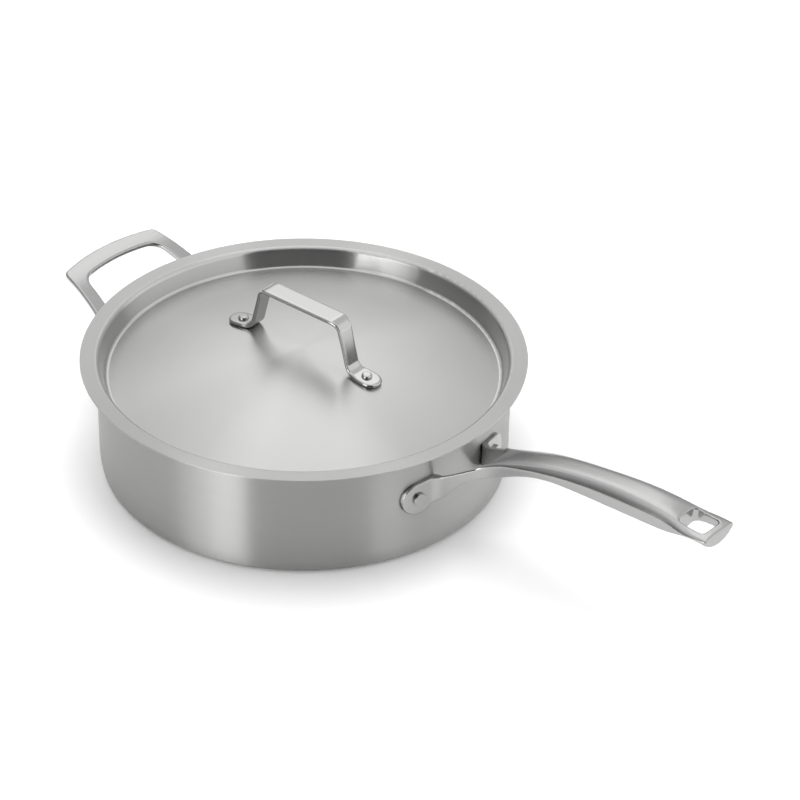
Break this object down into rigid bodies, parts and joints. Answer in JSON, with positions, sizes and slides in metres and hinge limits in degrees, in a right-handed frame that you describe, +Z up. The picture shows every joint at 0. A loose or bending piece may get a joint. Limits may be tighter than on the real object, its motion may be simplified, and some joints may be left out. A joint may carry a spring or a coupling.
{
  "type": "saute pan with lid",
  "caption": "Straight-sided brushed steel saute pan with a long forked handle, a looped helper handle and a drop-in domed lid that lifts off.",
  "frame": {"origin": "middle of the pan's flat base, on the surface it stands on", "axes": "+Z up out of the pan, +X along the long handle away from the pan, the helper handle on -X"},
  "size_m": [0.5552, 0.308, 0.1243],
  "materials": {
    "body_steel": "brushed round the axis",
    "core_aluminium": "rolled, seen only at the rim",
    "lid_steel": "brushed round the axis",
    "handle_steel": "satin",
    "rivet_steel": "satin"
  },
  "bodies": {
    "pan": {"pan_outer_ply": "body_steel", "pan_core_ply": "core_aluminium", "pan_inner_ply": "body_steel", "long_handle": "handle_steel", "long_handle_rivet_left": "rivet_steel", "long_handle_rivet_right": "rivet_steel", "helper_handle": "handle_steel", "helper_handle_rivet_left": "rivet_steel", "helper_handle_rivet_right": "rivet_steel"},
    "lid": {"lid_plate": "lid_steel", "lid_handle": "handle_steel", "lid_handle_rivet_near": "rivet_steel", "lid_handle_rivet_far": "rivet_steel"}
  },
  "joints": [
    {"name": "lid_lift", "type": "slide", "parent": "pan", "child": "lid", "axis": [0, 0, 1], "range_m": [0, 0.15]}
  ]
}
